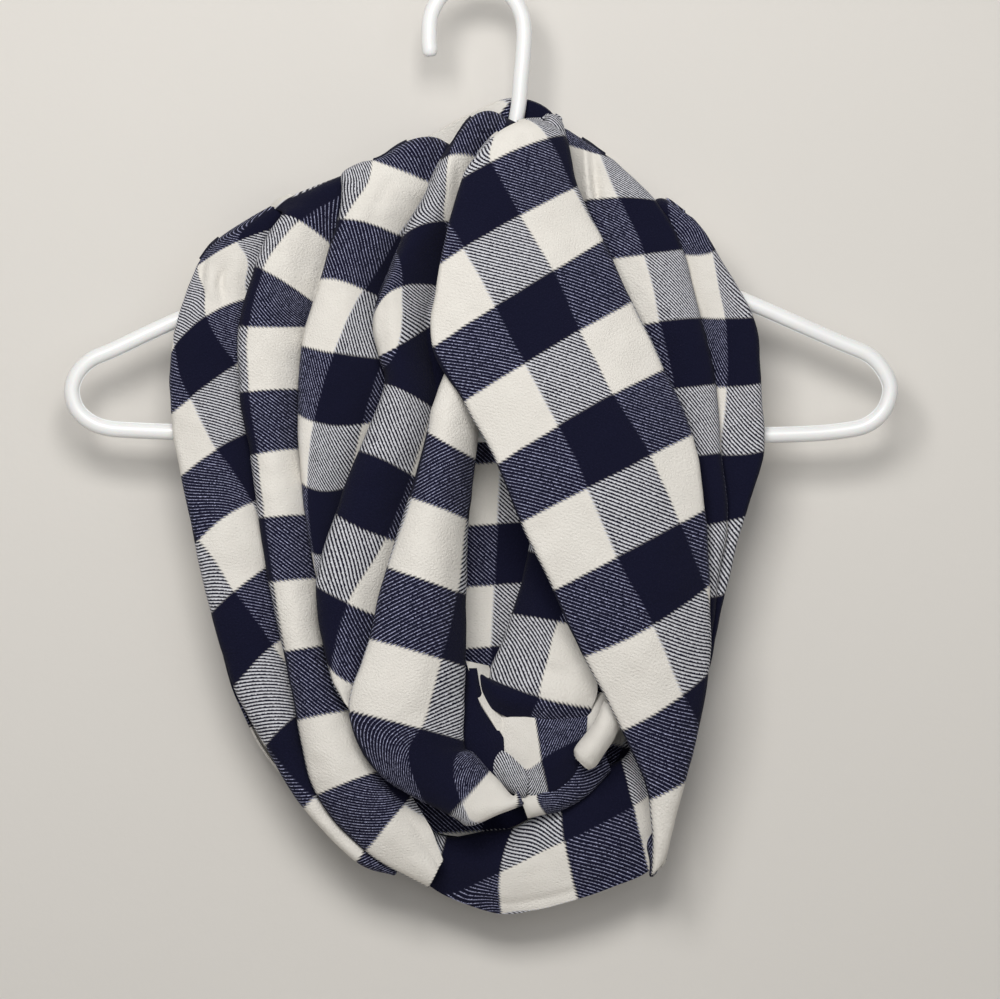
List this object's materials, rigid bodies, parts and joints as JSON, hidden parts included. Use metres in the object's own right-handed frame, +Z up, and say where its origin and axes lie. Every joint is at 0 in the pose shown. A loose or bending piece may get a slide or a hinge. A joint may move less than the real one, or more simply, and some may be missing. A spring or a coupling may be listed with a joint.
{
  "type": "infinity scarf on clothes hanger",
  "caption": "Wide looped scarf in a checked brushed flannel, wound into hanging loops over a tubular plastic clothes hanger with a round hook.",
  "frame": {"origin": "inside of the crest of the hanger's hook, where the hook rests on the rail, nail or wall hook that holds it", "axes": "+X to the right as seen from the front, +Y towards the wall behind, +Z up; the front faces -Y"},
  "size_m": [0.4168, 0.0747, 0.4701],
  "materials": {
    "check_flannel": "brushed flannel in a cream and navy buffalo check",
    "white_plastic": "gloss"
  },
  "bodies": {
    "root": {"back_swag": "check_flannel", "bottom_sling": "check_flannel", "centre_strand": "check_flannel", "front_band": "check_flannel", "inner_folds": "check_flannel", "inner_strand": "check_flannel", "left_inner_fold": "check_flannel", "left_middle_fold": "check_flannel", "lower_tuck": "check_flannel", "outer_left_fall": "check_flannel", "right_inner_fall": "check_flannel", "right_outer_fall": "check_flannel", "right_tuck": "check_flannel", "throat_fold": "check_flannel", "hanger": "white_plastic"}
  },
  "joints": []
}
